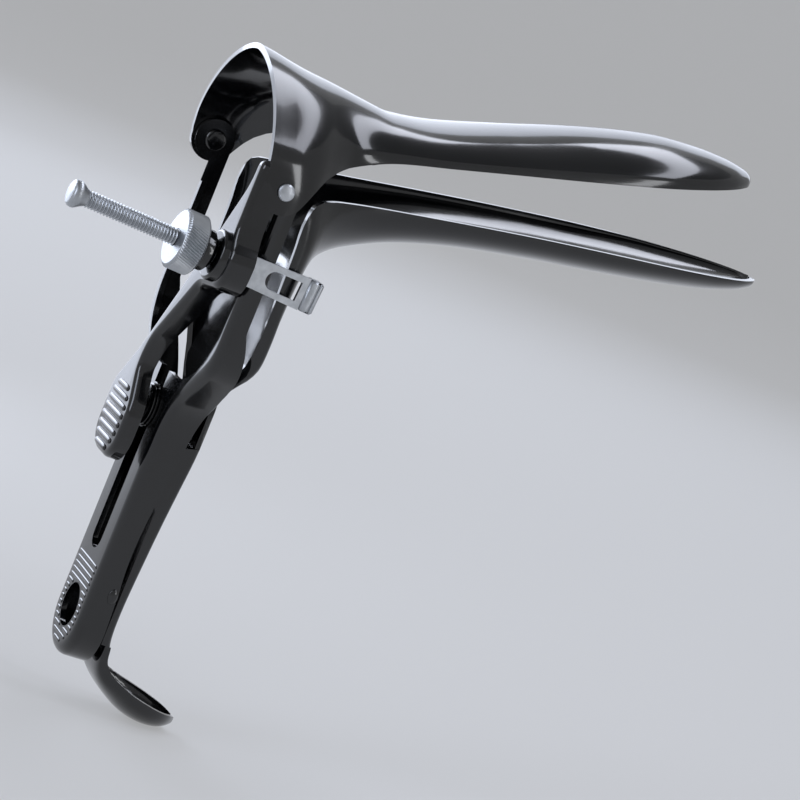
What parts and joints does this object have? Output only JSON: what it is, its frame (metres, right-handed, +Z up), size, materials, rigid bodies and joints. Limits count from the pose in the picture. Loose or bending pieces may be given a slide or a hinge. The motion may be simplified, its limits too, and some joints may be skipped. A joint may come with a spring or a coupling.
{
  "type": "bivalve speculum",
  "caption": "Bivalve speculum: two opposed blades on a sliding yoke and a channelled handle, with a thumb lever and a nut on a screw that set the opening.",
  "frame": {"origin": "middle of the footprint, at the lowest point of the handle's finger rest, with the instrument upright", "axes": "+X from the mouth to the blades' tips, +Y to the side away from the thumb lever, +Z up along the handle"},
  "size_m": [0.158, 0.059, 0.1567],
  "materials": {
    "black_coat": "glossy black coating on steel",
    "bright_steel": "polished bright steel",
    "raw_steel": "machined plain steel, satin"
  },
  "bodies": {
    "handle": {"lower_blade": "black_coat", "handle_stem": "black_coat", "slide_stud": "black_coat", "slide_washer": "black_coat"},
    "yoke": {"yoke_frame": "black_coat", "hinge_rivet_near": "bright_steel", "hinge_rivet_far": "black_coat"},
    "upper": {"upper_blade": "black_coat", "thumb_lever": "black_coat"},
    "rod": {"threaded_rod": "raw_steel", "rod_strap": "bright_steel", "strap_keeper": "raw_steel"},
    "collar": {"nut_collar": "black_coat"},
    "nut": {"knurled_nut": "raw_steel"}
  },
  "joints": [
    {"name": "yoke_slide", "type": "slide", "parent": "handle", "child": "yoke", "axis": [0, 0, 1], "range_m": [0, 0.028]},
    {"name": "blade_tilt", "type": "hinge", "parent": "yoke", "child": "upper", "pos_m": [-0.03793, 0.00137, 0.11929], "axis": [0, -1, 0], "range_deg": [-9.6, 2.5]},
    {"name": "rod_swivel", "type": "hinge", "parent": "yoke", "child": "rod", "pos_m": [-0.02593, 0.00137, 0.10117], "axis": [0, -1, 0], "range_deg": [-3.5, 1]},
    {"name": "nut_travel", "type": "slide", "parent": "rod", "child": "collar", "axis": [-0.9979, 0, 0.0645], "range_m": [-0.0008, 0.0031]},
    {"name": "nut_spin", "type": "hinge", "parent": "collar", "child": "nut", "pos_m": [-0.05293, -0.02298, 0.10292], "axis": [-0.9979, 0, 0.0645], "range_deg": [-390, 1540]}
  ],
  "couplings": [
    {"joint": "blade_tilt", "follows": "nut_spin", "ratio": -0.0061688},
    {"joint": "rod_swivel", "follows": "nut_spin", "ratio": -0.0022078},
    {"joint": "nut_travel", "follows": "nut_spin", "m_per_rad": 0.00011141}
  ]
}
